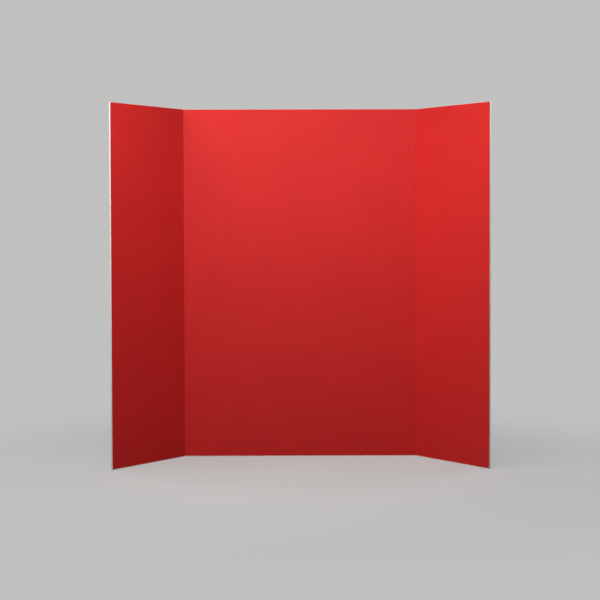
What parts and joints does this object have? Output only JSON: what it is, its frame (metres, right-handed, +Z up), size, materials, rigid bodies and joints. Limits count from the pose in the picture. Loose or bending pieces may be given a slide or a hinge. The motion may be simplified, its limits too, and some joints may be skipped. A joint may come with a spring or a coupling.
{
  "type": "tri-fold display board",
  "caption": "Free-standing red corrugated display board: a tall centre panel with two hinged side wings that fold forward flat over it.",
  "frame": {"origin": "on the floor, at the middle of the footprint that the board covers when it stands with both wings forward", "axes": "+X to the reader's right along the centre panel, +Y towards the back of the board, +Z up; the board is read from -Y"},
  "size_m": [0.9462, 0.2598, 0.9144],
  "materials": {
    "red_paper": "dyed liner paper, satin",
    "fluting_paper": "uncoated corrugating medium",
    "white_paper": "uncoated white liner paper"
  },
  "bodies": {
    "centre_panel": {"centre_front_liner": "red_paper", "centre_fluting": "fluting_paper", "centre_back_liner": "white_paper", "left_fold_crease": "red_paper", "right_fold_crease": "red_paper"},
    "left_wing": {"left_front_liner": "red_paper", "left_fluting": "fluting_paper", "left_back_liner": "white_paper"},
    "right_wing": {"right_front_liner": "red_paper", "right_fluting": "fluting_paper", "right_back_liner": "white_paper"}
  },
  "joints": [
    {"name": "left_fold", "type": "hinge", "parent": "centre_panel", "child": "left_wing", "pos_m": [-0.3048, 0.12562, 0], "axis": [0, 0, 1], "range_deg": [-57.2, 122.8]},
    {"name": "right_fold", "type": "hinge", "parent": "centre_panel", "child": "right_wing", "pos_m": [0.3048, 0.12562, 0], "axis": [0, 0, -1], "range_deg": [-57.2, 122.8]}
  ]
}
